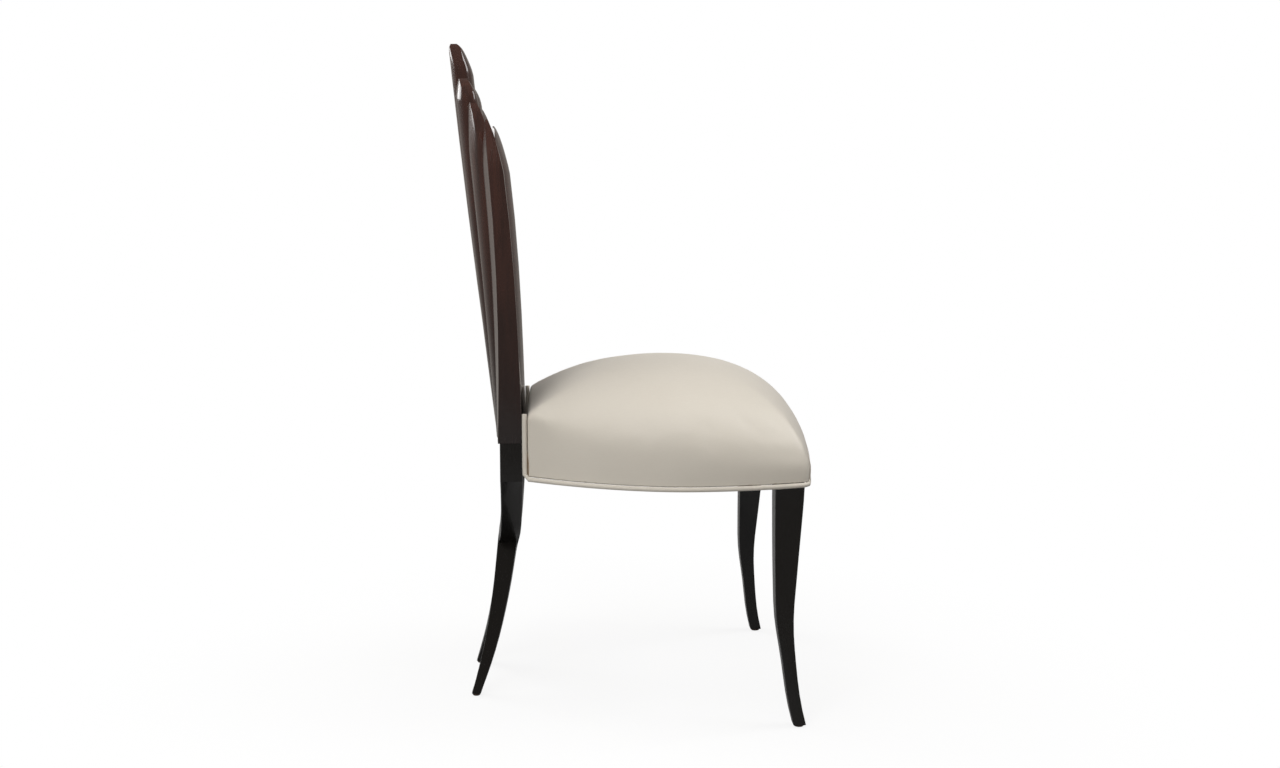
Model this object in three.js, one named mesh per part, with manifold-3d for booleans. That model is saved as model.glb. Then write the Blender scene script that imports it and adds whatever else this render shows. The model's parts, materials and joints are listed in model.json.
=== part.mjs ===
// A klismos style dining chair: sabre legs that cross behind, a bowed seat frame with a
// tight upholstered dome, and a tall back of seven carved fronds standing in a fan.
// Millimetres. X runs across the chair, the sitter faces -Y, and Z is up from the floor.

import * as THREE from 'three';
import { mergeVertices } from 'three/addons/utils/BufferGeometryUtils.js';
import Module from 'manifold-3d';

const wasm = await Module();
wasm.setup();

// Heights above the floor
const seatUnderside = 380;
const postTop = 440;
const backTop = 1080;
const seatCrown = 557;
const seatRearRim = 487;
const seatFrontRim = 424;
const crossHeight = 246;

// Plan of the seat, on the line of the welt
const seatRearHalf = 180;
const seatMidHalf = 286;
const seatFrontHalf = 255;
const seatRearY = 173.5;
const seatMidY = -85;
const seatFrontY = -270;
const seatFrontBow = 25;
const seatCornerRun = 7;
const seatCrownY = -60;
const rearBowPower = 1.8;

// Fits
const fit = 0.3;
const overrun = 6;

// Posts and back legs
const postFrontY = 177;
const postDepth = 36;
const postWidth = 40;
const rearFootHalf = 93;
const rearFootY = 259;
const rearFootDepth = 15;
const rearFootWidth = 17;
const rearLegWaistDepth = 34;
const rearLegWaistWidth = 27;
const rearLegWaistY = 206;
const kneeDrop = 7;
const kneeLean = 2;
const legCorner = 2.2;
const headCorner = 3.8;

// Front legs
const frontLegWidth = 42;
const frontLegDepth = 47;
const frontFootOutset = 36;
const frontFootDepth = 20;
const frontFootWidth = 25;
const frontAnkleDepth = 21.5;
const frontAnkleHeight = 105;
const frontFootY = -257;
const frontCalfBack = 2;
const frontAnkleBack = 11;
const frontHeelBack = 20;

// Seat frame
const railHeight = 39;
const railThickness = 25;
const railInset = 3.6;
const railLanding = 5;
const baseRailThickness = 34;
const baseRailHeight = 40;
const tenonLength = 15;
const tenonThickness = 10;
const tenonShoulder = 7;
const blockLeg = 62;
const blockHeight = 30;

// Seat upholstery
const coverThickness = 1.5;
const weltRadius = 3.2;
const weltGroove = 2;
const weltTurn = 5;
const wallBulge = 3.4;
const strapWidth = 50;
const strapThickness = 1.3;
const strapLanding = 18;
const lengthStraps = 5;
const crossStraps = 4;
const dustCoverThickness = 0.8;
const dustCoverInset = 9;

// Back fronds
const frondsPerSide = 3;
const frondTopPitch = 57.4;
const fanReference = 890;
const reedBaseDepth = 42;
const reedTopDepth = 36;
const sideReedBaseDepth = 40;
const sideReedTopDepth = 24;
const reedTaperPower = 0.8;
const reedRoundPower = 2.3;
const reedShoulderPower = 0.62;
const jointBaseDepth = 34;
const jointTopDepth = 9;
const outerBaseDepth = 39;
const outerTopDepth = 22;
const apexDepth = 19;
const apexHalfShare = 0.16;
const sideApexShare = -0.3;
const tipFillPower = 1.4;
const leafFrontPower = 0.62;
const leafRearPower = 1.1;
const fanLean = 60.5;
const fanLeanLift = 6;
const fanBaseSag = 7;
const fanTopSag = 50;
const fanSagHalf = 201;
const fanCurvePower = 2.2;
const fanSagPower = 1.8;
const fanBaseRearY = 222.4;
const frondTipHeights = [backTop, 1021, 980, 952];
const frondTipLengths = [52, 40, 91, 84];
const frondInnerLengths = [52, 6, 6, 62];
const frondTipSetbacks = [0, 8.5, 9, 4];
const dowelRadius = 4;
const dowelLength = 40;

// Fixings and glides
const screwHeadRadius = 4;
const screwHeadHeight = 2.6;
const screwRadius = 2;
const screwBite = 14;
const screwSetback = 17;
const glideHeight = 4.2;
const frontGlideRadius = 8.6;
const rearGlideRadius = 6.6;
const glideEdge = 1.4;
const nailRadius = 1.3;
const nailLength = 14;

// Heights that follow
const railBottom = seatUnderside + 2 * weltRadius + fit;
const railTop = railBottom + railHeight;
const strapTop = railTop + 2 * (strapThickness + fit);
const foamBottom = strapTop + fit;
const legBottom = glideHeight + fit;
const railMiddle = railBottom + railHeight / 2;

// Finishes
const lacquerBlack = new THREE.MeshStandardMaterial({ color: 0x16110f, roughness: 0.22, metalness: 0 });
const lacquerBrown = new THREE.MeshStandardMaterial({ color: 0x35211c, roughness: 0.24, metalness: 0 });
const bareBeech = new THREE.MeshStandardMaterial({ color: 0xb99468, roughness: 0.7, metalness: 0 });
const ivorySatin = new THREE.MeshStandardMaterial({ color: 0xc9bfb1, roughness: 0.55, metalness: 0 });
const paleFoam = new THREE.MeshStandardMaterial({ color: 0xe6d9b0, roughness: 0.95, metalness: 0 });
const juteWeb = new THREE.MeshStandardMaterial({ color: 0x8a6f4d, roughness: 0.95, metalness: 0 });
const blackCambric = new THREE.MeshStandardMaterial({ color: 0x1b1b1c, roughness: 0.95, metalness: 0 });
const zincSteel = new THREE.MeshStandardMaterial({ color: 0x9a9ca0, roughness: 0.4, metalness: 1 });
const glidePlastic = new THREE.MeshStandardMaterial({ color: 0x4b3a30, roughness: 0.5, metalness: 0 });

const chair = new THREE.Group();

function addPiece(name, geometry, material) {
  const mesh = new THREE.Mesh(geometry, material.clone());
  mesh.name = name;
  chair.add(mesh);
  return mesh;
}

// Mesh helpers

function signedVolume(points, faces) {
  let volume = 0;
  const normal = new THREE.Vector3();
  for (const [a, b, c] of faces) {
    volume += points[a].dot(normal.crossVectors(points[b], points[c])) / 6;
  }
  return volume;
}

function solidFrom(points, faces) {
  const outward = signedVolume(points, faces) > 0;
  const geometry = new THREE.BufferGeometry();
  const positions = points.flatMap((p) => [p.x, p.y, p.z]);
  const order = faces.flatMap(([a, b, c]) => (outward ? [a, b, c] : [a, c, b]));
  geometry.setAttribute('position', new THREE.Float32BufferAttribute(positions, 3));
  geometry.setIndex(order);
  geometry.computeVertexNormals();
  return geometry;
}

function ringStrip(faces, first, second, count) {
  for (let k = 0; k < count; k += 1) {
    const next = (k + 1) % count;
    faces.push([first + k, first + next, second + next], [first + k, second + next, second + k]);
  }
}

function ringFan(faces, first, middle, count, reversed) {
  for (let k = 0; k < count; k += 1) {
    const next = (k + 1) % count;
    faces.push(reversed ? [middle, first + next, first + k] : [middle, first + k, first + next]);
  }
}

function middleOf(ring) {
  const sum = ring.reduce((total, p) => total.add(p), new THREE.Vector3());
  return sum.divideScalar(ring.length);
}

// A closed body through rings of equal count, capped at both ends
function loftBody(rings) {
  const count = rings[0].length;
  const points = rings.flat();
  const faces = [];
  for (let j = 0; j + 1 < rings.length; j += 1) {
    ringStrip(faces, j * count, (j + 1) * count, count);
  }
  points.push(middleOf(rings[0]), middleOf(rings[rings.length - 1]));
  ringFan(faces, 0, points.length - 2, count, true);
  ringFan(faces, (rings.length - 1) * count, points.length - 1, count, false);
  return solidFrom(points, faces);
}

function toSolid(geometry) {
  const bare = geometry.clone();
  bare.deleteAttribute('normal');
  bare.deleteAttribute('uv');
  const merged = mergeVertices(bare);
  const vertProperties = new Float32Array(merged.attributes.position.array);
  const triVerts = new Uint32Array(merged.index.array);
  return new wasm.Manifold(new wasm.Mesh({ numProp: 3, vertProperties, triVerts }));
}

function toGeometry(solid) {
  const mesh = solid.getMesh();
  const geometry = new THREE.BufferGeometry();
  geometry.setAttribute('position', new THREE.Float32BufferAttribute(mesh.vertProperties, 3));
  geometry.setIndex(new THREE.Uint32BufferAttribute(mesh.triVerts, 1));
  geometry.computeVertexNormals();
  return geometry;
}

function cutAway(geometry, tools) {
  return toGeometry(tools.reduce((solid, tool) => solid.subtract(toSolid(tool)), toSolid(geometry)));
}

function joined(first, second) {
  return toGeometry(toSolid(first).add(toSolid(second)));
}

function shared(first, second) {
  return toGeometry(toSolid(first).intersect(toSolid(second)));
}

function blockBetween(low, high) {
  const size = new THREE.Vector3().subVectors(high, low);
  const middle = new THREE.Vector3().addVectors(low, high).multiplyScalar(1 / 2);
  return new THREE.BoxGeometry(size.x, size.y, size.z).translate(middle.x, middle.y, middle.z);
}

function prism(points, bottom, height) {
  const shape = new THREE.Shape(points);
  return new THREE.ExtrudeGeometry(shape, { depth: height, bevelEnabled: false }).translate(0, 0, bottom);
}

function mix(from, to, share) {
  return from + (to - from) * share;
}

function mirrorX(geometry) {
  const flipped = geometry.clone();
  const position = flipped.attributes.position;
  for (let k = 0; k < position.count; k += 1) {
    position.setX(k, -position.getX(k));
  }
  const order = Array.from(flipped.index.array);
  for (let k = 0; k < order.length; k += 3) {
    [order[k + 1], order[k + 2]] = [order[k + 2], order[k + 1]];
  }
  flipped.setIndex(order);
  flipped.computeVertexNormals();
  return flipped;
}

// Seat plan

function sideBow(y) {
  const behind = y > seatMidY;
  const run = (behind ? seatRearY : seatFrontY) - seatMidY;
  const drop = seatMidHalf - (behind ? seatRearHalf : seatFrontHalf);
  const bowPower = behind ? rearBowPower : 2;
  const share = (y - seatMidY) / run;
  return {
    half: seatMidHalf - drop * Math.pow(share, bowPower),
    slope: -drop * bowPower * Math.pow(share, bowPower - 1) / run,
  };
}

function sideHalfWidth(y) {
  return sideBow(y).half;
}

function frontEdgeY(x) {
  return seatFrontY - seatFrontBow * (1 - Math.pow(x / seatFrontHalf, 2));
}

// Points from the rear corner along the side, round the front corner, to the front middle
function halfPlan(rearEnd, sideSteps, cornerSteps, frontSteps) {
  const points = [];
  const sideEnd = seatFrontY + seatCornerRun;
  for (let k = 0; k <= sideSteps; k += 1) {
    const y = mix(rearEnd, sideEnd, k / sideSteps);
    points.push(new THREE.Vector2(sideHalfWidth(y), y));
  }
  const frontStart = seatFrontHalf - seatCornerRun;
  const turn = new THREE.QuadraticBezierCurve(
    points[points.length - 1],
    new THREE.Vector2(seatFrontHalf, seatFrontY),
    new THREE.Vector2(frontStart, frontEdgeY(frontStart)),
  );
  points.push(...turn.getPoints(cornerSteps).slice(1));
  for (let k = 1; k <= frontSteps; k += 1) {
    const x = mix(frontStart, 0, k / frontSteps);
    points.push(new THREE.Vector2(x, frontEdgeY(x)));
  }
  return points;
}

// Both halves: from the rear corner on +X, round the front, to the rear corner on -X
function openPlan(rearEnd, sideSteps, cornerSteps, frontSteps) {
  const half = halfPlan(rearEnd, sideSteps, cornerSteps, frontSteps);
  const other = half.slice(0, -1).reverse().map((p) => new THREE.Vector2(-p.x, p.y));
  return [...half, ...other];
}

function outwardAt(points, k) {
  const before = points[Math.max(k - 1, 0)];
  const after = points[Math.min(k + 1, points.length - 1)];
  const along = new THREE.Vector2().subVectors(after, before).normalize();
  return new THREE.Vector2(-along.y, along.x);
}

function insetPlan(points, inset) {
  return points.map((p, k) => p.clone().addScaledVector(outwardAt(points, k), -inset));
}

// Sabre legs: a spine with a section of given depth along Y and width across the leg

function smoothed(values) {
  return new THREE.CatmullRomCurve3(values.map((v) => new THREE.Vector3(...v)), false, 'centripetal');
}

function legSection(middle, across, width, depth, corner) {
  const w = width / 2;
  const d = depth / 2;
  const bend = corner * (1 - Math.SQRT1_2);
  const quarter = [[w, d - corner], [w - bend, d - bend], [w - corner, d]];
  const outline = [
    ...quarter,
    ...quarter.map(([a, b]) => [-a, b]).reverse(),
    ...quarter.map(([a, b]) => [-a, -b]),
    ...quarter.map(([a, b]) => [a, -b]).reverse(),
  ];
  return outline.map(([a, b]) => new THREE.Vector3(
    middle.x + across.x * a, middle.y + b, middle.z + across.z * a,
  ));
}

// Back leg on the +X post; it crosses the middle and ends in a foot on the -X side
function rearLegRings(grow) {
  const postX = seatRearHalf - postWidth / 2;
  const postY = postFrontY + postDepth / 2;
  const knee = [postX, postY, seatUnderside + kneeDrop];
  const spine = smoothed([
    knee,
    [postX * 0.62, postY + kneeLean, mix(crossHeight, knee[2], 0.58)],
    [postX * 0.28, mix(postY, rearLegWaistY, 0.5), mix(crossHeight, knee[2], 0.24)],
    [0, rearLegWaistY, crossHeight],
    [-rearFootHalf * 0.42, mix(rearLegWaistY, rearFootY, 0.21), crossHeight * 0.68],
    [-rearFootHalf * 0.74, mix(rearLegWaistY, rearFootY, 0.5), crossHeight * 0.37],
    [-rearFootHalf * 0.92, mix(rearLegWaistY, rearFootY, 0.79), crossHeight * 0.15],
    [-rearFootHalf, rearFootY, legBottom],
  ]);
  const steps = 20;
  const rings = [];
  const upright = new THREE.Vector3(1, 0, 0);
  const top = new THREE.Vector3(postX, postY, postTop);
  rings.push(legSection(top, upright, postWidth + grow, postDepth + grow, legCorner));
  for (let k = 0; k <= steps; k += 1) {
    const share = k / steps;
    const middle = spine.getPointAt(share);
    const along = spine.getTangentAt(share);
    const across = new THREE.Vector3(-along.z, 0, along.x).normalize();
    let width = mix(postWidth * 0.84, rearLegWaistWidth, Math.min(share / 0.4, 1));
    let depth = mix(postDepth, rearLegWaistDepth, Math.min(share / 0.4, 1));
    if (share > 0.4) {
      width = mix(rearLegWaistWidth, rearFootWidth, (share - 0.4) / 0.6);
      depth = mix(rearLegWaistDepth, rearFootDepth, Math.pow((share - 0.4) / 0.6, 1.25));
    }
    if (k === 0) {
      across.add(upright).normalize();
      width = postWidth / across.x;
    }
    if (k === steps) {
      across.copy(upright);
    }
    rings.push(legSection(middle, across, width + grow, depth + grow, legCorner));
  }
  return rings;
}

// The half-lap: one leg keeps its front half at the crossing, the other its rear half
function crossedLegs() {
  const reach = postDepth * 2;
  const zone = postWidth * 2;
  const window = (fromY, toY) => blockBetween(
    new THREE.Vector3(-zone, fromY, crossHeight - zone),
    new THREE.Vector3(zone, toY, crossHeight + zone),
  );
  const plain = loftBody(rearLegRings(0));
  const grown = loftBody(rearLegRings(2 * fit));
  const rearHalf = window(rearLegWaistY - fit / 2, rearLegWaistY + reach);
  const frontHalf = window(rearLegWaistY - reach, rearLegWaistY + fit / 2);
  const right = cutAway(plain, [shared(mirrorX(grown), rearHalf)]);
  const left = cutAway(mirrorX(plain), [shared(grown, frontHalf)]);
  return { right, left };
}

// Front leg on the +X side, from inside the frame corner down to the foot
const headFrontY = seatFrontY + railInset;
const headOuterX = seatFrontHalf - railInset;

function frontLeg() {
  const headX = headOuterX - frontLegWidth / 2;
  const rearLine = headFrontY + frontLegDepth;
  const rearAt = smoothed([
    [0, rearLine, railTop],
    [0, rearLine, seatUnderside * 0.62],
    [0, rearLine - frontCalfBack, seatUnderside * 0.44],
    [0, rearLine - frontAnkleBack, frontAnkleHeight],
    [0, rearLine - frontHeelBack, seatUnderside * 0.1],
    [0, frontFootY + frontFootDepth / 2, legBottom],
  ]);
  const depthAt = smoothed([
    [0, frontLegDepth, railTop],
    [0, frontLegDepth, seatUnderside],
    [0, frontLegDepth * 0.79, seatUnderside * 0.68],
    [0, frontAnkleDepth * 1.36, seatUnderside * 0.48],
    [0, frontAnkleDepth, frontAnkleHeight],
    [0, frontFootDepth, legBottom],
  ]);
  const levelAt = (curve, z) => {
    const points = curve.getPoints(120);
    const index = Math.max(1, points.findIndex((p) => p.z <= z));
    const above = points[index - 1];
    const below = points[index];
    return mix(above.y, below.y, (above.z - z) / (above.z - below.z));
  };
  const rings = [railTop, seatUnderside + legCorner].map((z) => legSection(
    new THREE.Vector3(headX, headFrontY + frontLegDepth / 2, z),
    new THREE.Vector3(1, 0, 0), frontLegWidth, frontLegDepth, headCorner,
  ));
  const steps = 16;
  for (let k = 1; k <= steps; k += 1) {
    const share = k / steps;
    const z = mix(seatUnderside, legBottom, share);
    const depth = levelAt(depthAt, z);
    const rear = levelAt(rearAt, z);
    const width = mix(frontLegWidth, frontFootWidth, Math.pow(share, 0.8));
    const outer = headOuterX + frontFootOutset * Math.pow(share, 1.6);
    rings.push(legSection(
      new THREE.Vector3(outer - width / 2, rear - depth / 2, z),
      new THREE.Vector3(1, 0, 0), width, depth, legCorner,
    ));
  }
  return loftBody(rings);
}

// Seat frame with tenons

function railOuterX(y) {
  const { half, slope } = sideBow(y);
  return half - railInset * Math.hypot(1, slope);
}

// The rail thickens towards the front leg, so that its end lands on the leg's rear face
function railInnerX(y) {
  const landing = headOuterX - frontLegWidth + railLanding;
  const extra = railOuterX(headFrontY + frontLegDepth) - railThickness - landing;
  const share = Math.max(0, (seatMidY - y) / (seatMidY - headFrontY - frontLegDepth));
  return railOuterX(y) - railThickness - extra * share * share;
}

function curvedSideRail() {
  const from = postFrontY - fit;
  const to = headFrontY + frontLegDepth + fit;
  const steps = 16;
  const outer = [];
  const inner = [];
  for (let k = 0; k <= steps; k += 1) {
    const y = mix(from, to, k / steps);
    outer.push(new THREE.Vector2(railOuterX(y), y));
    inner.unshift(new THREE.Vector2(railInnerX(y), y));
  }
  return prism([...outer, ...inner], railBottom, railHeight);
}

function frontRailBody() {
  const end = headOuterX - frontLegWidth - fit;
  const steps = 14;
  const front = [];
  const rear = [];
  for (let k = 0; k <= steps; k += 1) {
    const x = mix(end, -end, k / steps);
    front.push(new THREE.Vector2(x, frontEdgeY(x) + railInset));
    rear.unshift(new THREE.Vector2(x, frontEdgeY(x) + railInset + railThickness));
  }
  return prism([...front, ...rear], railBottom, railHeight);
}

const halfTenon = tenonThickness / 2;
const baseRailBottom = postTop - baseRailHeight;

function tongue(fromX, toX, fromY, toY, grow, low = railBottom, high = railTop) {
  const under = low + tenonShoulder - grow;
  const over = high - tenonShoulder + grow;
  return blockBetween(
    new THREE.Vector3(fromX - grow, fromY - grow, under),
    new THREE.Vector3(toX + grow, toY + grow, over),
  );
}

const rearTenonX = railOuterX(postFrontY) - railThickness / 2;
const frontTenonX = headOuterX - frontLegWidth / 2;
const frontTenonY = frontEdgeY(headOuterX - frontLegWidth) + railInset + railThickness / 2;
const baseRailY = postFrontY + postDepth / 2;
const postInnerX = seatRearHalf - postWidth;
const headInnerX = headOuterX - frontLegWidth;
const headRearY = headFrontY + frontLegDepth;

const tenons = {
  sideRear: (grow) => tongue(
    rearTenonX - halfTenon, rearTenonX + halfTenon, postFrontY - overrun, postFrontY + tenonLength, grow,
  ),
  sideFront: (grow) => tongue(
    frontTenonX - halfTenon, frontTenonX + halfTenon, headRearY - tenonLength, headRearY + overrun, grow,
  ),
  front: (grow) => tongue(
    headInnerX - overrun, headInnerX + tenonLength, frontTenonY - halfTenon, frontTenonY + halfTenon, grow,
  ),
  base: (grow) => tongue(
    postInnerX - overrun, postInnerX + tenonLength, baseRailY - halfTenon, baseRailY + halfTenon, grow,
    baseRailBottom, postTop,
  ),
};

// Corner blocks and their screws

const rearRailFrontY = postFrontY - fit - railThickness;

function blockFaceX(y) {
  return railInnerX(y) - fit;
}

function frontBlock() {
  const nearY = headRearY + fit;
  const railY = frontEdgeY(headInnerX) + railInset + railThickness + fit;
  const farY = railY + blockLeg;
  const innerX = headInnerX - fit;
  const reachX = innerX - blockLeg;
  const points = [
    new THREE.Vector2(blockFaceX(farY), farY),
    new THREE.Vector2(reachX, railY),
    new THREE.Vector2(innerX, railY),
    new THREE.Vector2(innerX, nearY),
    new THREE.Vector2(blockFaceX(nearY), nearY),
  ];
  return { body: prism(points, railMiddle - blockHeight / 2, blockHeight), farY, reachX, railY };
}

function rearBlock() {
  const nearY = rearRailFrontY - fit;
  const farY = nearY - blockLeg;
  const outerX = blockFaceX(nearY);
  const points = [
    new THREE.Vector2(outerX, nearY),
    new THREE.Vector2(outerX - blockLeg, nearY),
    new THREE.Vector2(blockFaceX(farY), farY),
  ];
  return { body: prism(points, railMiddle - blockHeight / 2, blockHeight), nearY, farY };
}

// A countersunk screw: its head sits in the block and its shank bites into the rail
function screwAt(at, direction, length, grow) {
  const profile = [
    new THREE.Vector2(0, 0),
    new THREE.Vector2(screwHeadRadius + grow, 0),
    new THREE.Vector2(screwHeadRadius + grow, screwHeadHeight / 4),
    new THREE.Vector2(screwRadius + grow, screwHeadHeight),
    new THREE.Vector2(screwRadius + grow, length + grow),
    new THREE.Vector2(0, length + grow),
  ];
  const turned = new THREE.LatheGeometry(profile, 10);
  const spin = new THREE.Quaternion().setFromUnitVectors(new THREE.Vector3(0, 1, 0), direction);
  return turned.applyQuaternion(spin).translate(at.x, at.y, at.z);
}

function cylinderAlong(at, direction, radius, length) {
  const body = new THREE.CylinderGeometry(radius, radius, length, 10).translate(0, length / 2, 0);
  const spin = new THREE.Quaternion().setFromUnitVectors(new THREE.Vector3(0, 1, 0), direction);
  return body.applyQuaternion(spin).translate(at.x, at.y, at.z);
}

const outwards = new THREE.Vector3(1, 0, 0);
const forwards = new THREE.Vector3(0, -1, 0);
const backwards = new THREE.Vector3(0, 1, 0);

// Each screw starts inside its block, a head's depth behind the slanted face
function blockScrews(block, rear) {
  const level = railMiddle;
  const seat = screwSetback;
  if (rear) {
    const sideY = block.farY + seat;
    const sideFace = blockFaceX(sideY);
    const endX = blockFaceX(block.nearY) - blockLeg + seat;
    const side = { at: new THREE.Vector3(sideFace - seat / 2, sideY, level), aim: outwards, wall: seat / 2 };
    const end = { at: new THREE.Vector3(endX, block.nearY - seat / 2, level), aim: backwards, wall: seat / 2 };
    return [side, end];
  }
  const sideY = block.farY - seat;
  const sideFace = blockFaceX(sideY);
  const endX = block.reachX + seat;
  const side = { at: new THREE.Vector3(sideFace - seat / 2, sideY, level), aim: outwards, wall: seat / 2 };
  const end = { at: new THREE.Vector3(endX, block.railY + seat / 2, level), aim: forwards, wall: seat / 2 };
  return [side, end];
}

function screwSolid(screw) {
  return screwAt(screw.at, screw.aim, screw.wall + screwBite, 0);
}

function screwTools(screw) {
  const hole = screwAt(screw.at, screw.aim, screw.wall + screwBite, fit);
  const entry = cylinderAlong(
    screw.at.clone().addScaledVector(screw.aim, fit), screw.aim.clone().negate(), screwHeadRadius + fit, blockLeg,
  );
  return [hole, entry];
}

// Upholstery: rings up the drawn-in wall and over the dome

const domeShares = [0.985, 0.95, 0.885, 0.79, 0.66, 0.5, 0.32, 0.15];
const wallShares = [0, 0.3, 0.62, 1];
const domeRoundPower = 2.7;
const frontShoulderPower = 0.6;
const rearShoulderPower = 0.95;

function rimHeight(y) {
  return mix(seatFrontRim, seatRearRim, (y - seatFrontY) / (seatRearY - seatFrontY));
}

// The dome's level lines turn from the plan at the rim into an oval at the crown
function ovalPoint(p) {
  const reachY = p.y > seatCrownY ? seatRearY - seatCrownY : seatCrownY - frontEdgeY(0);
  const reachX = sideHalfWidth(seatCrownY);
  const towards = new THREE.Vector2(p.x / reachX, (p.y - seatCrownY) / reachY).normalize();
  return { x: towards.x * reachX, y: towards.y * reachY };
}

function coverPlan(inset) {
  const rearEnd = seatRearY - weltRadius - fit - weltGroove / 2;
  const round = openPlan(rearEnd, 13, 2, 7);
  const sides = insetPlan(round, inset).map((p) => ({ x: p.x, y: Math.min(p.y, rearEnd - inset), rear: false }));
  const edge = sides[0].x - coverThickness;
  const rearSteps = 6;
  const rear = [];
  for (let k = 0; k <= rearSteps; k += 1) {
    rear.push({ x: mix(-edge, edge, k / rearSteps), y: rearEnd - inset, rear: true });
  }
  return [...sides, ...rear];
}

function seatRings(inset, sideBottom, rearBottom) {
  const plan = coverPlan(inset);
  const rings = [];
  for (const share of wallShares) {
    rings.push(plan.map((p) => {
      const low = p.rear ? rearBottom : sideBottom;
      const swell = p.rear ? 0 : wallBulge * Math.sin(Math.PI * (0.12 + 0.88 * share) * 0.62);
      const centre = new THREE.Vector2(0, seatCrownY);
      const away = new THREE.Vector2(p.x, p.y).sub(centre).normalize();
      const nearBack = Math.min(1, Math.max(0, (seatRearY - p.y) / (seatRearY - seatMidY) * 2));
      return new THREE.Vector3(
        p.x + away.x * swell * nearBack,
        p.y + away.y * swell * nearBack,
        mix(low, rimHeight(p.y) - inset, share),
      );
    }));
  }
  const rim = rings[rings.length - 1];
  const crown = seatCrown - inset;
  for (const share of domeShares) {
    rings.push(rim.map((p) => {
      const backward = Math.max(0, (p.y - seatCrownY) / (seatRearY - seatCrownY));
      const shoulder = mix(frontShoulderPower, rearShoulderPower, backward);
      const rise = Math.pow(1 - Math.pow(share, domeRoundPower), shoulder);
      const oval = ovalPoint(p);
      const hold = share * share;
      return new THREE.Vector3(
        mix(oval.x, p.x, hold) * share,
        seatCrownY + mix(oval.y, p.y - seatCrownY, hold) * share,
        mix(p.z, crown, rise),
      );
    }));
  }
  return { rings, crown: new THREE.Vector3(0, seatCrownY, crown) };
}

function foamBody() {
  const { rings, crown } = seatRings(coverThickness + fit, foamBottom, foamBottom);
  const count = rings[0].length;
  const points = rings.flat();
  const faces = [];
  for (let j = 0; j + 1 < rings.length; j += 1) {
    ringStrip(faces, j * count, (j + 1) * count, count);
  }
  points.push(crown, new THREE.Vector3(0, seatCrownY, foamBottom));
  ringFan(faces, (rings.length - 1) * count, points.length - 2, count, false);
  ringFan(faces, 0, points.length - 1, count, true);
  return solidFrom(points, faces);
}

function coverBody() {
  const sideBottom = railBottom + weltGroove;
  const rearBottom = foamBottom;
  const outer = seatRings(0, sideBottom, rearBottom);
  const inner = seatRings(coverThickness, sideBottom, rearBottom);
  const count = outer.rings[0].length;
  const points = [...outer.rings.flat(), outer.crown, ...inner.rings.flat(), inner.crown];
  const innerStart = outer.rings.length * count + 1;
  const faces = [];
  const last = outer.rings.length - 1;
  for (let j = 0; j < last; j += 1) {
    ringStrip(faces, j * count, (j + 1) * count, count);
    ringStrip(faces, innerStart + (j + 1) * count, innerStart + j * count, count);
  }
  ringFan(faces, last * count, innerStart - 1, count, false);
  ringFan(faces, innerStart + last * count, points.length - 1, count, true);
  ringStrip(faces, innerStart, 0, count);
  return solidFrom(points, faces);
}

// The welt: down one rear corner, round the bottom edge and up the other
function weltBody() {
  const low = seatUnderside + weltRadius;
  const round = openPlan(seatRearY, 20, 4, 12).map((p) => new THREE.Vector3(p.x, p.y, low));
  const first = round[0];
  const lastPoint = round[round.length - 1];
  const path = new THREE.CurvePath();
  const inFront = (p, far) => p.clone().lerp(far, weltTurn / p.distanceTo(far));
  const start = inFront(first, round[1]);
  const end = inFront(lastPoint, round[round.length - 2]);
  const up = (p, height) => new THREE.Vector3(p.x, p.y, height);
  const bottom = new THREE.CatmullRomCurve3([start, ...round.slice(1, -1), end], false, 'centripetal');
  path.add(new THREE.LineCurve3(up(first, seatRearRim), up(first, low + weltTurn)));
  path.add(new THREE.QuadraticBezierCurve3(up(first, low + weltTurn), first, start));
  path.add(bottom);
  path.add(new THREE.QuadraticBezierCurve3(end, lastPoint, up(lastPoint, low + weltTurn)));
  path.add(new THREE.LineCurve3(up(lastPoint, low + weltTurn), up(lastPoint, seatRearRim)));
  const section = new THREE.Shape();
  section.absarc(0, 0, weltRadius, 0, Math.PI * 2);
  const cord = new THREE.ExtrudeGeometry(section, {
    steps: 120, extrudePath: path, curveSegments: 4, bevelEnabled: false,
  });
  return cord;
}

// Webbing laid lengthwise on the frame, with the cross straps on top

function strapBodies() {
  const lengthwise = [];
  const crosswise = [];
  const spread = (rearRailHalf() * 2 - strapWidth) / (lengthStraps - 1);
  for (let k = 0; k < lengthStraps; k += 1) {
    const x = (k - (lengthStraps - 1) / 2) * spread;
    const low = frontEdgeY(Math.abs(x) + strapWidth / 2) + railInset + railThickness - strapLanding;
    lengthwise.push(blockBetween(
      new THREE.Vector3(x - strapWidth / 2, low, railTop + fit),
      new THREE.Vector3(x + strapWidth / 2, rearRailFrontY + strapLanding, railTop + fit + strapThickness),
    ));
  }
  const firstY = headRearY + strapWidth / 2;
  const lastY = rearRailFrontY - strapWidth;
  for (let k = 0; k < crossStraps; k += 1) {
    const y = mix(firstY, lastY, k / (crossStraps - 1));
    const half = Math.min(railInnerX(y - strapWidth / 2), railInnerX(y + strapWidth / 2));
    const reach = half + strapLanding;
    const level = railTop + 2 * fit + strapThickness;
    crosswise.push(blockBetween(
      new THREE.Vector3(-reach, y - strapWidth / 2, level),
      new THREE.Vector3(reach, y + strapWidth / 2, level + strapThickness),
    ));
  }
  return { lengthwise, crosswise };
}

function rearRailHalf() {
  return railInnerX(postFrontY - fit) - fit;
}

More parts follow.
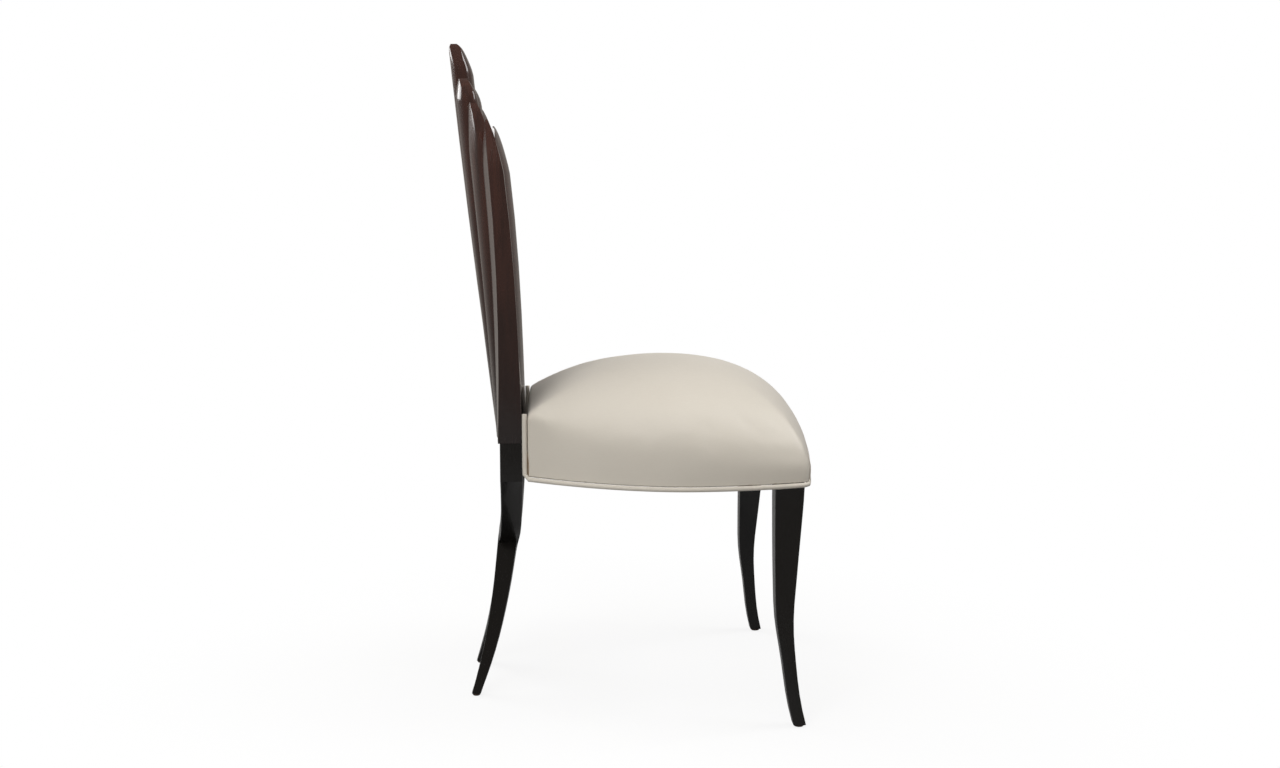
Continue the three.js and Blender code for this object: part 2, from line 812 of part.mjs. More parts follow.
function dustCoverBody() {
  const round = insetPlan(openPlan(rearRailFrontY, 14, 3, 8), dustCoverInset);
  const sheet = prism(round, railBottom - fit - dustCoverThickness, dustCoverThickness);
  const clear = (sign) => blockBetween(
    new THREE.Vector3(sign > 0 ? headInnerX - fit : -seatMidHalf, seatFrontY - overrun * 6, seatUnderside),
    new THREE.Vector3(sign > 0 ? seatMidHalf : -headInnerX + fit, headRearY + fit, railTop),
  );
  return cutAway(sheet, [clear(1), clear(-1)]);
}

// The fan of fronds

const frondCount = 2 * frondsPerSide + 1;
const frondBasePitch = (seatRearHalf + seatRearHalf) / frondCount;

function fanShare(z) {
  return (z - postTop) / (fanReference - postTop);
}

function fanRearY(z) {
  const share = fanShare(z);
  return fanBaseRearY + fanLean * share - fanLeanLift * share * share;
}

function fanSag(z) {
  return mix(fanBaseSag, fanTopSag, 1 - Math.pow(Math.max(1 - fanShare(z), 0), fanSagPower));
}

function fanSurface(x, z) {
  const sag = fanSag(z);
  const share = Math.min(Math.abs(x) / fanSagHalf, 1);
  const turn = Math.PI / 2 * Math.pow(share, fanCurvePower);
  const y = fanRearY(z) - sag * Math.sin(turn);
  const steep = sag * Math.cos(turn) * Math.PI / 2 * fanCurvePower * Math.pow(share, fanCurvePower - 1);
  const slope = -Math.sign(x) * steep / fanSagHalf;
  const outward = new THREE.Vector3(-slope, 1, 0).normalize();
  return { point: new THREE.Vector3(x, y, z), outward };
}

// A frond is a reed: deep along its middle and thin where it meets its neighbours
const acrossShares = [-1, -0.94, -0.78, -0.48, 0, 0.48, 0.78, 0.94, 1];
const bodyStationShares = [0, 0.1, 0.24, 0.42, 0.62, 0.82];
const tipStationShares = [1, 0.84, 0.68, 0.53, 0.39, 0.26, 0.15, 0.07, 0.015];

function reedDepths(rank, z) {
  const down = Math.pow(Math.min(fanShare(z), 1), reedTaperPower);
  const outermost = rank === frondsPerSide;
  const middle = outermost ? mix(sideReedBaseDepth, sideReedTopDepth, down) : mix(reedBaseDepth, reedTopDepth, down);
  const joint = mix(jointBaseDepth, jointTopDepth, Math.min(2 * fanShare(z), 1));
  const outer = outermost ? mix(outerBaseDepth, outerTopDepth, down) : joint;
  return { middle, inner: joint, outer };
}

function leafCurve(share, power) {
  return Math.pow(1 - Math.pow(1 - share, 2), power);
}

// Outline shares of the tip, -1 at the inner edge and 1 at the outer, and its depths
function frondAt(rank, z) {
  const depths = reedDepths(rank, z);
  const tip = frondTipHeights[rank];
  const outerDown = Math.min(1, (tip - z) / frondTipLengths[rank]);
  const innerDown = Math.min(1, (tip - z) / frondInnerLengths[rank]);
  const apex = rank === 0 ? 0 : sideApexShare;
  const fill = 1 - Math.pow(1 - outerDown, tipFillPower);
  const span = (power) => ({
    low: mix(apex - apexHalfShare, -1, leafCurve(innerDown, power)),
    high: mix(apex + apexHalfShare, 1, leafCurve(outerDown, power)),
  });
  return {
    front: span(leafFrontPower),
    rear: span(leafRearPower),
    setback: mix(frondTipSetbacks[rank], 0, fill),
    middle: mix(apexDepth, depths.middle, fill),
    inner: mix(apexDepth, depths.inner, innerDown),
    outer: mix(apexDepth, depths.outer, outerDown),
  };
}

function frondSection(index, z) {
  const pitch = mix(frondBasePitch, frondTopPitch, fanShare(z));
  const side = index < 0 ? -1 : 1;
  const rank = Math.abs(index);
  const reach = pitch / 2 - fit / 2;
  const shape = frondAt(rank, z);
  const rear = [];
  const front = [];
  for (const q of acrossShares) {
    const edge = q < 0 ? shape.inner : shape.outer;
    const flush = q > 0 && rank === frondsPerSide;
    const round = Math.pow(1 - Math.pow(Math.abs(q), reedRoundPower), reedShoulderPower);
    const lift = (shape.middle - edge) * (1 - round);
    const rearIn = shape.setback + (flush ? 0 : lift / 2);
    const frontIn = shape.setback + shape.middle - (flush ? lift : lift / 2);
    const share = (q + 1) / 2;
    const rearAt = fanSurface(index * pitch + side * mix(shape.rear.low, shape.rear.high, share) * reach, z);
    const frontAt = fanSurface(index * pitch + side * mix(shape.front.low, shape.front.high, share) * reach, z);
    rear.push(rearAt.point.addScaledVector(rearAt.outward, -rearIn));
    front.unshift(frontAt.point.addScaledVector(frontAt.outward, -frontIn));
  }
  return [...rear, ...front];
}

function frondBody(index) {
  const rank = Math.abs(index);
  const tip = frondTipHeights[rank];
  const tipLength = frondTipLengths[rank];
  const bottom = postTop + fit;
  const levels = [
    ...bodyStationShares.map((share) => mix(bottom, tip - tipLength, share)),
    ...tipStationShares.map((share) => tip - tipLength * share),
  ];
  return loftBody(levels.map((z) => frondSection(index, z)));
}

function dowelPlace(index) {
  const x = index * frondBasePitch;
  return new THREE.Vector3(x, baseRailY, postTop - dowelLength / 2);
}

function dowelBody(index, grow) {
  const at = dowelPlace(index);
  const start = new THREE.Vector3(at.x, at.y, at.z - grow);
  return cylinderAlong(start, new THREE.Vector3(0, 0, 1), dowelRadius + grow, dowelLength + 2 * grow);
}

// Glides with a nail up into the foot

function glideProfile(radius, grow) {
  return [
    new THREE.Vector2(0, 0),
    new THREE.Vector2(radius - glideEdge, 0),
    new THREE.Vector2(radius, glideEdge),
    new THREE.Vector2(radius, glideHeight),
    new THREE.Vector2(nailRadius + grow, glideHeight),
    new THREE.Vector2(nailRadius + grow, glideHeight + nailLength + grow),
    new THREE.Vector2(0, glideHeight + nailLength + grow),
  ];
}

function glideBody(x, y, radius, grow) {
  const turned = new THREE.LatheGeometry(glideProfile(radius, grow), 20);
  return turned.rotateX(Math.PI / 2).translate(x, y, 0);
}

// Assembly

const rearGlideX = rearFootHalf;
const frontGlideX = headOuterX + frontFootOutset - frontFootWidth / 2;
const frontGlide = (grow) => glideBody(frontGlideX, frontFootY, frontGlideRadius, grow);
const rearGlide = (grow) => glideBody(rearGlideX, rearFootY, rearGlideRadius, grow);

const frontBlockParts = frontBlock();
const rearBlockParts = rearBlock();
const frontScrews = blockScrews(frontBlockParts, false);
const rearScrews = blockScrews(rearBlockParts, true);
const frontTools = frontScrews.flatMap(screwTools);
const rearTools = rearScrews.flatMap(screwTools);
const outerDowel = dowelBody(frondsPerSide, fit);
const allDowels = [];
for (let index = -frondsPerSide; index <= frondsPerSide; index += 1) {
  allDowels.push(dowelBody(index, fit));
}

const crossed = crossedLegs();
const rearLegCuts = [tenons.sideRear(fit), tenons.base(fit), outerDowel];
const rearLegRight = cutAway(crossed.right, [...rearLegCuts, mirrorX(toGeometry(toSolid(rearGlide(fit))))]);
const rearLegLeft = cutAway(crossed.left, [
  ...rearLegCuts.map((tool) => mirrorX(toGeometry(toSolid(tool)))),
  rearGlide(fit),
]);
addPiece('rear_leg_right', rearLegRight, lacquerBlack);
addPiece('rear_leg_left', rearLegLeft, lacquerBlack);

const frontLegBody = cutAway(frontLeg(), [tenons.sideFront(fit), tenons.front(fit), frontGlide(fit)]);
addPiece('front_leg_right', frontLegBody, lacquerBlack);
addPiece('front_leg_left', mirrorX(frontLegBody), lacquerBlack);

const sideRail = cutAway(
  joined(joined(curvedSideRail(), tenons.sideRear(0)), tenons.sideFront(0)),
  [frontTools[0], rearTools[0]],
);
addPiece('side_rail_right', sideRail, bareBeech);
addPiece('side_rail_left', mirrorX(sideRail), bareBeech);

const frontEndTool = mirrorX(toGeometry(toSolid(frontTools[2])));
const frontTenonLeft = mirrorX(toGeometry(toSolid(tenons.front(0))));
const frontRail = cutAway(
  joined(joined(frontRailBody(), tenons.front(0)), frontTenonLeft),
  [frontTools[2], frontEndTool],
);
addPiece('front_rail', frontRail, bareBeech);

const rearRailBody = blockBetween(
  new THREE.Vector3(-rearRailHalf(), rearRailFrontY, railBottom),
  new THREE.Vector3(rearRailHalf(), postFrontY - fit, railTop),
);
const rearEndTool = mirrorX(toGeometry(toSolid(rearTools[2])));
addPiece('seat_rear_rail', cutAway(rearRailBody, [rearTools[2], rearEndTool]), bareBeech);

const baseRailBody = blockBetween(
  new THREE.Vector3(-postInnerX + fit, baseRailY - baseRailThickness / 2, baseRailBottom),
  new THREE.Vector3(postInnerX - fit, baseRailY + baseRailThickness / 2, postTop),
);
const baseTenonLeft = mirrorX(toGeometry(toSolid(tenons.base(0))));
addPiece(
  'back_base_rail',
  cutAway(joined(joined(baseRailBody, tenons.base(0)), baseTenonLeft), allDowels),
  lacquerBlack,
);

const frontBlockBody = cutAway(frontBlockParts.body, frontTools);
const rearBlockBody = cutAway(rearBlockParts.body, rearTools);
addPiece('corner_block_front_right', frontBlockBody, bareBeech);
addPiece('corner_block_front_left', mirrorX(frontBlockBody), bareBeech);
addPiece('corner_block_rear_right', rearBlockBody, bareBeech);
addPiece('corner_block_rear_left', mirrorX(rearBlockBody), bareBeech);

const screwPlaces = ['front_side', 'front_end', 'rear_side', 'rear_end'];
[...frontScrews, ...rearScrews].forEach((screw, k) => {
  const body = toGeometry(toSolid(screwSolid(screw)));
  addPiece(`block_screw_${screwPlaces[k]}_right`, body, zincSteel);
  addPiece(`block_screw_${screwPlaces[k]}_left`, mirrorX(body), zincSteel);
});

const straps = strapBodies();
straps.lengthwise.forEach((body, k) => addPiece(`webbing_lengthwise_${k + 1}`, body, juteWeb));
straps.crosswise.forEach((body, k) => addPiece(`webbing_crosswise_${k + 1}`, body, juteWeb));
addPiece('seat_foam', foamBody(), paleFoam);
addPiece('seat_cover', coverBody(), ivorySatin);
addPiece('seat_welt', weltBody(), ivorySatin);
addPiece('dust_cover', dustCoverBody(), blackCambric);

function frondName(index) {
  if (index === 0) return 'back_frond_center';
  return `back_frond_${index > 0 ? 'right' : 'left'}_${Math.abs(index)}`;
}

function dowelName(index) {
  return frondName(index).replace('back_frond', 'frond_dowel');
}

for (let index = -frondsPerSide; index <= frondsPerSide; index += 1) {
  addPiece(frondName(index), cutAway(frondBody(index), [dowelBody(index, fit)]), lacquerBrown);
  addPiece(dowelName(index), toGeometry(toSolid(dowelBody(index, 0))), bareBeech);
}

const frontGlideBody = toGeometry(toSolid(frontGlide(0)));
const rearGlideBody = toGeometry(toSolid(rearGlide(0)));
addPiece('glide_front_right', frontGlideBody, glidePlastic);
addPiece('glide_front_left', mirrorX(frontGlideBody), glidePlastic);
addPiece('glide_rear_right', rearGlideBody, glidePlastic);
addPiece('glide_rear_left', mirrorX(rearGlideBody), glidePlastic);

// The origin lies on the floor under the middle of the chair's plan
const reach = new THREE.Box3().setFromObject(chair);
chair.position.y = -(reach.min.y + reach.max.y) / 2;

export default chair;
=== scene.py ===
import json
import math

import bmesh
import bpy
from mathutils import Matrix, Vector
from mathutils.bvhtree import BVHTree

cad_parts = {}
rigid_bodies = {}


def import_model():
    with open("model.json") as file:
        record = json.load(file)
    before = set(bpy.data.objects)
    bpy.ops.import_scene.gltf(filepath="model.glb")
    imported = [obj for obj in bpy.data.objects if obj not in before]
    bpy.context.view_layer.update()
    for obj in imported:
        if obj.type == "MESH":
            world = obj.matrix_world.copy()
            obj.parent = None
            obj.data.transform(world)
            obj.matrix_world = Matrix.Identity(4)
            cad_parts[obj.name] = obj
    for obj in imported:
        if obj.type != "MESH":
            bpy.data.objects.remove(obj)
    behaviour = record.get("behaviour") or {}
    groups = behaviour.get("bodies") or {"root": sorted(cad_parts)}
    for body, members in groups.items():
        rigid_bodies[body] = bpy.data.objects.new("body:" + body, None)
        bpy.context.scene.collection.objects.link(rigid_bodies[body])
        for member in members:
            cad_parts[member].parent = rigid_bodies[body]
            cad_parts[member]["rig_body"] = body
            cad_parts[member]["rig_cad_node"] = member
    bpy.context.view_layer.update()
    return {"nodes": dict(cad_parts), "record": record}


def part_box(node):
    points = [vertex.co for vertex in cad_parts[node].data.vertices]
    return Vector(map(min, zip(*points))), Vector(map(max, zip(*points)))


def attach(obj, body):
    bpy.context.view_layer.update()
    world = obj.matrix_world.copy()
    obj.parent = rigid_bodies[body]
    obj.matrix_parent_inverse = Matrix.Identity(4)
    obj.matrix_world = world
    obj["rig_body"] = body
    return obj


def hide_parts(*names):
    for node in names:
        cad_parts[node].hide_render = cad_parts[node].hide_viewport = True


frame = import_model()
nodes = frame["nodes"]
bothSides = ("right", "left")
sideFronds = [f"back_frond_{side}_{rank}" for side in bothSides for rank in (1, 2, 3)]
frondNames = ["back_frond_center"] + sideFronds

# camera

cameraSettings = {
    "distance": 2.72,  # from the middle of the chair, off the side of the pieces named left
    "aheadOfRail": 0.065,  # towards the front from the middle of the back's base rail
    "height": 0.857,
    "pitch": math.radians(7.22),  # down
    "yaw": math.radians(3.17),  # towards the front of the chair
    "lens": 45.31,
    "sensor": 36.0,
}


def makeCamera(settings):
    low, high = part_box("back_base_rail")
    railY = (low.y + high.y) / 2
    data = bpy.data.cameras.new("studioCamera")
    data.sensor_width = settings["sensor"]
    data.lens = settings["lens"]
    camera = bpy.data.objects.new("studioCamera", data)
    bpy.context.scene.collection.objects.link(camera)
    camera.location = (-settings["distance"], railY - settings["aheadOfRail"], settings["height"])
    aim = Vector((
        math.cos(settings["pitch"]) * math.cos(settings["yaw"]),
        -math.cos(settings["pitch"]) * math.sin(settings["yaw"]),
        -math.sin(settings["pitch"]),
    ))
    camera.rotation_mode = "QUATERNION"
    camera.rotation_quaternion = aim.to_track_quat("-Z", "Y")
    bpy.context.scene.camera = camera


makeCamera(cameraSettings)
print("camera in place")

# shader maths

white = (1.0, 1.0, 1.0, 1.0)
unstretched = (1.0, 1.0, 1.0)


class Sock:
    # wraps an output socket, so that sums in a material read as sums

    def __init__(self, finish, socket):
        self.finish = finish
        self.socket = socket

    def mathNode(self, operation, first, second):
        return self.finish.node("ShaderNodeMath", {"operation": operation}, [first, second])

    def __add__(self, other):
        return self.mathNode("ADD", self, other)

    def __radd__(self, other):
        return self.mathNode("ADD", other, self)

    def __mul__(self, other):
        return self.mathNode("MULTIPLY", self, other)

    def __rmul__(self, other):
        return self.mathNode("MULTIPLY", other, self)


class Finish:
    # one material's node tree

    def __init__(self, name):
        self.material = bpy.data.materials.new(name)
        self.material.use_nodes = True
        self.tree = self.material.node_tree
        self.shader = self.tree.nodes["Principled BSDF"]
        self.output = self.tree.nodes["Material Output"]

    def feed(self, socket, value):
        if isinstance(value, Sock):
            self.tree.links.new(value.socket, socket)
        else:
            socket.default_value = value

    def node(self, kind, settings=None, values=(), out=0):
        made = self.tree.nodes.new(kind)
        for key, value in (settings or {}).items():
            setattr(made, key, value)
        pairs = values.items() if isinstance(values, dict) else enumerate(values)
        for key, value in pairs:
            self.feed(made.inputs[key], value)
        return Sock(self, made.outputs[out])

    def set(self, **values):
        for key, value in values.items():
            self.feed(self.shader.inputs[key.replace("_", " ")], value)

    def place(self, stretch=unstretched):
        where = self.node("ShaderNodeTexCoord", out="Object")
        return self.node("ShaderNodeMapping", {}, {"Vector": where, "Scale": stretch})

    def noise(self, scale, detail, roughness=0.5, distortion=0.0, stretch=unstretched):
        return self.node("ShaderNodeTexNoise", {}, {
            "Vector": self.place(stretch),
            "Scale": scale,
            "Detail": detail,
            "Roughness": roughness,
            "Distortion": distortion,
        })

    def blend(self, share, first, second):
        return self.node("ShaderNodeMix", {"data_type": "RGBA"}, {0: share, 6: first, 7: second}, out=2)

    def range(self, value, low, high, toLow=0.0, toHigh=1.0):
        return self.node("ShaderNodeMapRange", {"clamp": True}, [value, low, high, toLow, toHigh])

    def bump(self, height, strength, distance):
        return self.node("ShaderNodeBump", {}, {"Strength": strength, "Distance": distance, "Height": height})


def rgb(red, green, blue):
    # a colour as it is seen, 0 to 255, in the renderer's linear numbers
    linear = []
    for part in (red, green, blue):
        share = part / 255
        linear.append(share / 12.92 if share < 0.04045 else ((share + 0.055) / 1.055) ** 2.4)
    return (*linear, 1.0)


# finishes

lacquers = {
    # low: the colour of the painted shade low down, towards the seat
    "leg": {"dark": rgb(4, 3, 2), "light": rgb(13, 9, 6), "low": rgb(7, 5, 3), "coat": 0.5},
    "back": {"dark": rgb(44, 25, 20), "light": rgb(74, 43, 35), "low": rgb(24, 12, 9), "coat": 0.9},
}
woodGrain = {
    "grain": {
        "stretch": (26.0, 26.0, 2.2),
        "scale": 3.0,
        "detail": 6.0,
        "roughness": 0.62,
        "distortion": 0.6,
    },
    "pores": {"stretch": (420.0, 420.0, 16.0), "scale": 2.0, "detail": 2.0},
    "cloud": {"scale": 5.0, "detail": 2.0},
    "figureFrom": 0.32,
    "figureTo": 0.7,
    "figureShare": 0.75,
    "cloudShare": 0.25,
    "paintedShadeFrom": 0.45,  # up to this height the painted shade covers all
    "paintedShadeTo": 0.82,
    "rough": 0.2,
    "cloudRough": 0.08,
    "poreRough": 0.04,
    "coatRough": 0.08,
    "poreDepth": 0.5,
    "bump": 0.12,
    "bumpDepth": 0.0006,
}


def lacqueredWood(name, lacquer, settings):
    finish = Finish(name)
    grain = finish.noise(**settings["grain"])
    pores = finish.noise(**settings["pores"])
    cloud = finish.noise(**settings["cloud"])
    figure = finish.range(grain, settings["figureFrom"], settings["figureTo"])
    share = figure * settings["figureShare"] + cloud * settings["cloudShare"]
    wood = finish.blend(share, lacquer["dark"], lacquer["light"])
    # painted shade: the colour darkens towards the bottom, where the back meets the seat
    height = finish.node("ShaderNodeSeparateXYZ", {}, [finish.place()], out="Z")
    clear = finish.range(height, settings["paintedShadeFrom"], settings["paintedShadeTo"])
    relief = pores * settings["poreDepth"] + cloud
    finish.set(
        Base_Color=finish.blend(clear, lacquer["low"], wood),
        Roughness=settings["rough"] + cloud * settings["cloudRough"] + pores * settings["poreRough"],
        Coat_Weight=lacquer["coat"],
        Coat_Roughness=settings["coatRough"],
        Normal=finish.bump(relief, settings["bump"], settings["bumpDepth"]),
    )
    return finish.material


satin = {
    "cloth": rgb(227, 221, 209),
    "thread": rgb(216, 209, 196),
    "cloud": {"scale": 9.0, "detail": 3.0},
    "slub": {"stretch": (1.0, 1.0, 9.0), "scale": 130.0, "detail": 2.0},
    "threadScale": 191.666667,
    "threadWaver": 0.4,
    "cloudShare": 0.6,
    "slubShare": 0.4,
    "rough": 0.45,
    "slubRough": 0.08,
    "sheen": 0.25,
    "sheenRough": 0.4,
    "threadDepth": 0.4,
    "bump": 0.1,
    "bumpDepth": 0.0004,
}


def satinCloth(name, settings):
    finish = Finish(name)
    cloud = finish.noise(**settings["cloud"])
    slub = finish.noise(**settings["slub"])
    across, along = (
        finish.node("ShaderNodeTexWave", {"bands_direction": direction}, {
            "Vector": finish.place(),
            "Scale": settings["threadScale"],
            "Distortion": settings["threadWaver"],
        })
        for direction in ("Y", "DIAGONAL")
    )
    threads = (across + along) * 0.5
    share = cloud * settings["cloudShare"] + slub * settings["slubShare"]
    relief = threads * settings["threadDepth"] + slub
    finish.set(
        Base_Color=finish.blend(share, settings["cloth"], settings["thread"]),
        Roughness=settings["rough"] + slub * settings["slubRough"],
        Sheen_Weight=settings["sheen"],
        Sheen_Roughness=settings["sheenRough"],
        Normal=finish.bump(relief, settings["bump"], settings["bumpDepth"]),
    )
    return finish.material


plainSurface = {
    "detail": 4.0,
    "roughness": 0.6,
    "darkUpTo": 0.3,
    "lightFrom": 0.7,
    "cloudRough": 0.1,
    "bump": 0.3,
    "bumpDepth": 0.0004,
}
plainLooks = {
    "frame_beech": {
        "name": "frameBeech",
        "dark": rgb(132, 106, 80),
        "light": rgb(158, 130, 99),
        "rough": 0.6,
        "scale": 6.0,
        "stretch": (4.0, 4.0, 1.0),
    },
    "screw_steel": {
        "name": "screwSteel",
        "dark": rgb(150, 152, 156),
        "light": rgb(180, 182, 186),
        "rough": 0.35,
        "scale": 60.0,
        "metal": 1.0,
    },
    "webbing": {
        "name": "juteWebbing",
        "dark": rgb(120, 96, 66),
        "light": rgb(150, 124, 88),
        "rough": 0.9,
        "scale": 300.0,
    },
    "foam": {
        "name": "seatFoam",
        "dark": rgb(226, 214, 176),
        "light": rgb(238, 228, 196),
        "rough": 0.95,
        "scale": 400.0,
    },
    "dust_cover": {
        "name": "blackCambric",
        "dark": rgb(24, 24, 25),
        "light": rgb(38, 38, 40),
        "rough": 0.95,
        "scale": 500.0,
    },
    "glide": {
        "name": "glidePlastic",
        "dark": rgb(70, 56, 48),
        "light": rgb(86, 70, 60),
        "rough": 0.45,
        "scale": 80.0,
    },
}


def plainFinish(settings, name, dark, light, rough, scale, stretch=unstretched, metal=0.0):
    finish = Finish(name)
    cloud = finish.noise(scale, settings["detail"], settings["roughness"], stretch=stretch)
    share = finish.range(cloud, settings["darkUpTo"], settings["lightFrom"])
    finish.set(
        Base_Color=finish.blend(share, dark, light),
        Roughness=rough + cloud * settings["cloudRough"],
        Metallic=metal,
        Normal=finish.bump(cloud, settings["bump"], settings["bumpDepth"]),
    )
    return finish.material


finishes = {
    "leg_lacquer": lacqueredWood("legLacquer", lacquers["leg"], woodGrain),
    "back_lacquer": lacqueredWood("backLacquer", lacquers["back"], woodGrain),
    "seat_fabric": satinCloth("ivorySatin", satin),
}
for slotName, look in plainLooks.items():
    finishes[slotName] = plainFinish(plainSurface, **look)
for entry in frame["record"]["subparts"]:
    mesh = nodes[entry["node"]].data
    mesh.materials.clear()
    mesh.materials.append(finishes[entry["material_slot"]])
print("finishes made")

# tools that several pieces share

mergeDistance = 0.00002  # corners nearer to each other than this are one
cutTolerance = 0.00001  # a corner this near to a cut lies on it
facingDown = -0.9  # a face whose normal leans lower than this lies underneath


def shapeOf(piece):
    shape = bmesh.new()
    shape.from_mesh(piece.data)
    return shape


def writeShape(shape, piece):
    shape.to_mesh(piece.data)
    shape.free()
    piece.data.update()


def smoothFaces(shape):
    for face in shape.faces:
        face.smooth = True


def everyPart(shape):
    return list(shape.verts) + list(shape.edges) + list(shape.faces)


def newPiece(shape, name, slotName):
    piece = bpy.data.objects.new(name, bpy.data.meshes.new(name))
    bpy.context.scene.collection.objects.link(piece)
    writeShape(shape, piece)
    piece.data.materials.append(finishes[slotName])
    return piece


def worldCopy(nodeName, ending):
    # an own piece with the node's faces, in the room's coordinates
    source = nodes[nodeName]
    piece = bpy.data.objects.new(nodeName + ending, source.data.copy())
    bpy.context.scene.collection.objects.link(piece)
    shape = shapeOf(piece)
    bmesh.ops.transform(shape, matrix=source.matrix_world, verts=shape.verts)
    bmesh.ops.remove_doubles(shape, verts=shape.verts, dist=mergeDistance)
    shape.normal_update()
    return piece, shape


def thicken(piece, thickness):
    # inwards from the surface
    shell = piece.modifiers.new("thickness", "SOLIDIFY")
    shell.thickness = thickness
    shell.offset = -1.0


def keepResult(piece):
    # the modifiers' result becomes the mesh
    view = bpy.context.evaluated_depsgraph_get()
    view.update()
    made = bpy.data.meshes.new_from_object(piece.evaluated_get(view))
    piece.modifiers.clear()
    old = piece.data
    piece.data = made
    bpy.data.meshes.remove(old)


def standFor(piece, nodeName):
    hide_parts(nodeName)
    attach(piece, "root")


def asShare(value):
    return min(max(value, 0.0), 1.0)


def ease(value):
    share = asShare(value)
    return share * share * (3.0 - 2.0 * share)


# wood and welt with smooth faces and crisp arrises

arrises = {
    "leg": math.radians(38),  # an edge that turns by less than this is smoothed
    "frond": math.radians(34),
    "welt": math.radians(70),
    "weltPlump": 0.0009,  # how far the cord is let out, so that it closes on the cover
}


def smoothCopy(nodeName, sharpAngle, plump=0.0):
    piece = nodes[nodeName].copy()
    piece.data = nodes[nodeName].data.copy()
    piece.name = nodeName + "_finished"
    piece.parent = None
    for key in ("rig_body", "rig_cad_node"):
        if key in piece:
            del piece[key]
    bpy.context.scene.collection.objects.link(piece)
    shape = shapeOf(piece)
    bmesh.ops.remove_doubles(shape, verts=shape.verts, dist=mergeDistance)
    smoothFaces(shape)
    for edge in shape.edges:
        edge.smooth = len(edge.link_faces) == 2 and edge.calc_face_angle(0.0) < sharpAngle
    shape.normal_update()
    for vertex in shape.verts:
        vertex.co += vertex.normal * plump
    writeShape(shape, piece)
    weighted = piece.modifiers.new("weightedNormals", "WEIGHTED_NORMAL")
    weighted.keep_sharp = True
    standFor(piece, nodeName)
    return piece


# how the tip of each frond narrows, by its place from the middle outwards
frondTips = [
    {"reach": 0.02, "front": 0.005, "rear": 0.004, "power": 5.0},
    {"reach": 0.039, "front": 0.006, "rear": 0.002, "power": 3.0},
    {"reach": 0.089, "front": 0.009, "rear": 0.002, "power": 1.6},
    {"reach": 0.082, "front": 0.012, "rear": 0.008, "power": 1.35},
]
tipRows = {
    "perMetre": 20000,  # corners in one such layer of height make a row
    "margin": 0.0001,
}


def narrowTip(piece, tip, settings):
    # both edges of each row of corners near the top draw in, so that the frond ends as a leaf
    shape = shapeOf(piece)
    top = max(vertex.co.z for vertex in shape.verts)
    rows = {}
    for vertex in shape.verts:
        if vertex.co.z > top - tip["reach"] - settings["margin"]:
            rows.setdefault(round(vertex.co.z * settings["perMetre"]), []).append(vertex)
    for row in rows.values():
        front = min(vertex.co.y for vertex in row)
        rear = max(vertex.co.y for vertex in row)
        share = max((row[0].co.z - top) / tip["reach"] + 1.0, 0.0) ** tip["power"]
        newFront = front + tip["front"] * share
        newRear = rear - tip["rear"] * share
        for vertex in row:
            vertex.co.y = newFront + (vertex.co.y - front) / (rear - front) * (newRear - newFront)
    writeShape(shape, piece)


for side in bothSides:
    smoothCopy(f"rear_leg_{side}", arrises["leg"])
    smoothCopy(f"front_leg_{side}", arrises["leg"])
for nodeName in frondNames:
    frond = smoothCopy(nodeName, arrises["frond"])
    rank = int(nodeName[-1]) if nodeName[-1].isdigit() else 0
    narrowTip(frond, frondTips[rank], tipRows)
smoothCopy("seat_welt", arrises["welt"], arrises["weltPlump"])
print("wood finished")

# seat cushion: the cover's own skin, let out by a little air and pulled tight again

cushion = {
    "heart": Vector((0.0, -0.055, 0.4)),
    "skirt": 0.012,  # how far the skin runs on below its edge, cut off again at the end
    "voxel": 0.008,
    "drawIn": 0.0005,
    "quality": 5,
    "mass": 0.3,
    "pressure": 4.0,
    "frames": 20,
    "cap": 0.003,
    "held": 0.012,  # height above the welt over which the cloth stays nailed
    "heldBehind": 0.02,
    "fade": 0.03,  # width over which it comes free
    "nailedBelow": 0.02,  # a corner less free than this doesn't move at all
    "smoothings": 3,
    "smoothShare": 0.5,
    "tuckedIn": 0.0006,  # how far its edge reaches into the welt's seam
    "turnedUnder": -0.55,  # faces that lean lower than this are left away
    "thickness": 0.0014,
}


def outerSkin(nodeName, settings):
    piece, shape = worldCopy(nodeName, "_padded")
    hidden = [
        face for face in shape.faces
        if face.normal.dot(face.calc_center_median() - settings["heart"]) < 0.0 or face.normal.z < facingDown
    ]
    bmesh.ops.delete(shape, geom=hidden, context="FACES")
    rim = [edge for edge in shape.edges if edge.is_boundary]
    lowered = bmesh.ops.extrude_edge_only(shape, edges=rim)["geom"]
    skirt = [part for part in lowered if isinstance(part, bmesh.types.BMVert)]
    bmesh.ops.translate(shape, vec=(0.0, 0.0, -settings["skirt"]), verts=skirt)
    foot = [edge for edge in shape.edges if edge.is_boundary]
    bmesh.ops.contextual_create(shape, geom=foot)
    bmesh.ops.recalc_face_normals(shape, faces=shape.faces)
    bmesh.ops.triangulate(shape, faces=shape.faces)
    skin = BVHTree.FromBMesh(shape)
    writeShape(shape, piece)
    remesh = piece.modifiers.new("remesh", "REMESH")
    remesh.mode = "VOXEL"
    remesh.voxel_size = settings["voxel"]
    keepResult(piece)
    return piece, skin


